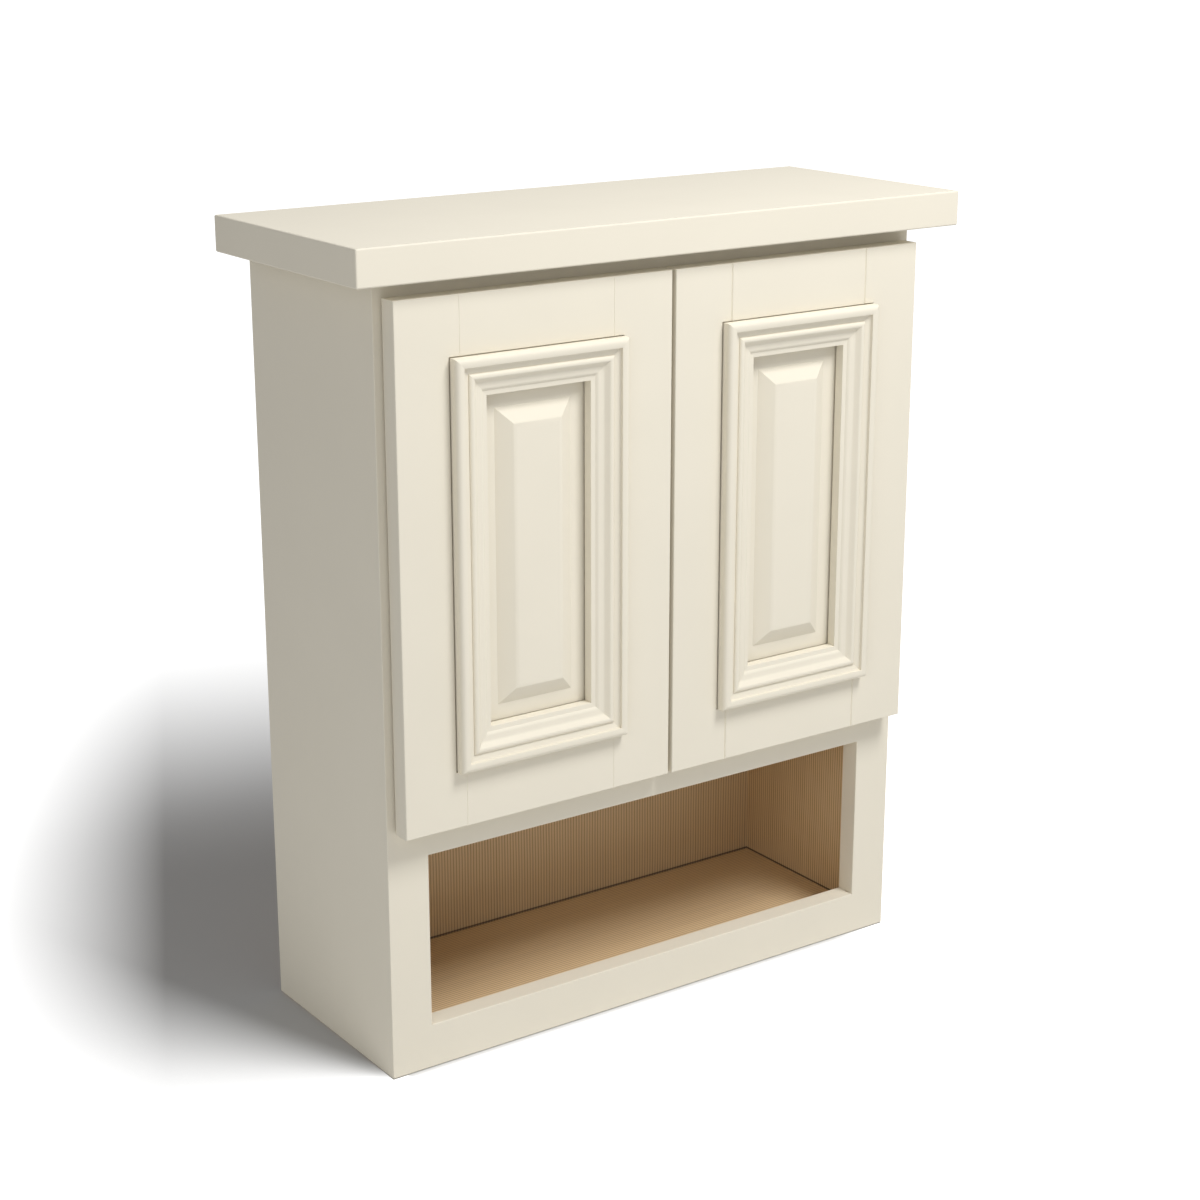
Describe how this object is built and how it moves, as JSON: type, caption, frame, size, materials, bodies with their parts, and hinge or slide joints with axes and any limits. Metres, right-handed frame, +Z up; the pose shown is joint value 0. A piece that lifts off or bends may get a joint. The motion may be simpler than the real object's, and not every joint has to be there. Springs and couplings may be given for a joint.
{
  "type": "wall-mounted bathroom cabinet",
  "caption": "Cream painted wall cabinet with a thick top slab, overlay raised-panel doors on concealed hinges above an open niche, hung by screws through rear rails.",
  "frame": {"origin": "middle of the four wall screw holes, on the wall plane", "axes": "+X to the right seen from the front, +Y into the wall, +Z up; the doors face -Y"},
  "size_m": [0.593, 0.2283, 0.6889],
  "materials": {
    "cream_paint": "satin cream paint over wood",
    "maple_lining": "satin maple laminate, straight grain",
    "bare_wood": "unfinished wood",
    "hinge_steel": "nickel-plated steel",
    "bumper": "clear soft plastic"
  },
  "bodies": {
    "cabinet": {"side_panel_left": "cream_paint", "side_panel_right": "cream_paint", "top_panel": "maple_lining", "middle_deck": "maple_lining", "bottom_deck": "maple_lining", "back_panel": "maple_lining", "hanging_rail_upper": "bare_wood", "hanging_rail_lower": "bare_wood", "case_dowels": "bare_wood", "top_slab": "cream_paint", "slab_screws": "hinge_steel", "adjustable_shelf": "maple_lining", "shelf_pins": "hinge_steel", "frame_stile_left": "cream_paint", "frame_stile_right": "cream_paint", "frame_bottom_rail": "cream_paint", "frame_middle_rail": "cream_paint", "frame_top_rail": "cream_paint", "frame_dowels": "bare_wood", "left_hinge_arm_upper": "hinge_steel", "left_hinge_arm_lower": "hinge_steel", "right_hinge_arm_upper": "hinge_steel", "right_hinge_arm_lower": "hinge_steel", "hinge_arm_screws": "hinge_steel"},
    "left_door": {"left_door_hinge_stile": "cream_paint", "left_door_meeting_stile": "cream_paint", "left_door_top_rail": "cream_paint", "left_door_bottom_rail": "cream_paint", "left_door_panel": "cream_paint", "left_door_moulding_top": "cream_paint", "left_door_moulding_bottom": "cream_paint", "left_door_moulding_hinge_side": "cream_paint", "left_door_moulding_meeting_side": "cream_paint", "left_door_bumpers": "bumper", "left_hinge_cup_upper": "hinge_steel", "left_hinge_cup_lower": "hinge_steel", "left_hinge_pins": "hinge_steel", "left_hinge_cup_screws": "hinge_steel"},
    "right_door": {"right_door_hinge_stile": "cream_paint", "right_door_meeting_stile": "cream_paint", "right_door_top_rail": "cream_paint", "right_door_bottom_rail": "cream_paint", "right_door_panel": "cream_paint", "right_door_moulding_top": "cream_paint", "right_door_moulding_bottom": "cream_paint", "right_door_moulding_hinge_side": "cream_paint", "right_door_moulding_meeting_side": "cream_paint", "right_door_bumpers": "bumper", "right_hinge_cup_upper": "hinge_steel", "right_hinge_cup_lower": "hinge_steel", "right_hinge_pins": "hinge_steel", "right_hinge_cup_screws": "hinge_steel"}
  },
  "joints": [
    {"name": "left_door_swing", "type": "hinge", "parent": "cabinet", "child": "left_door", "pos_m": [-0.25425, -0.2082, 0], "axis": [0, 0, -1], "range_deg": [0, 95]},
    {"name": "right_door_swing", "type": "hinge", "parent": "cabinet", "child": "right_door", "pos_m": [0.25425, -0.2082, 0], "axis": [0, 0, 1], "range_deg": [0, 95]}
  ]
}
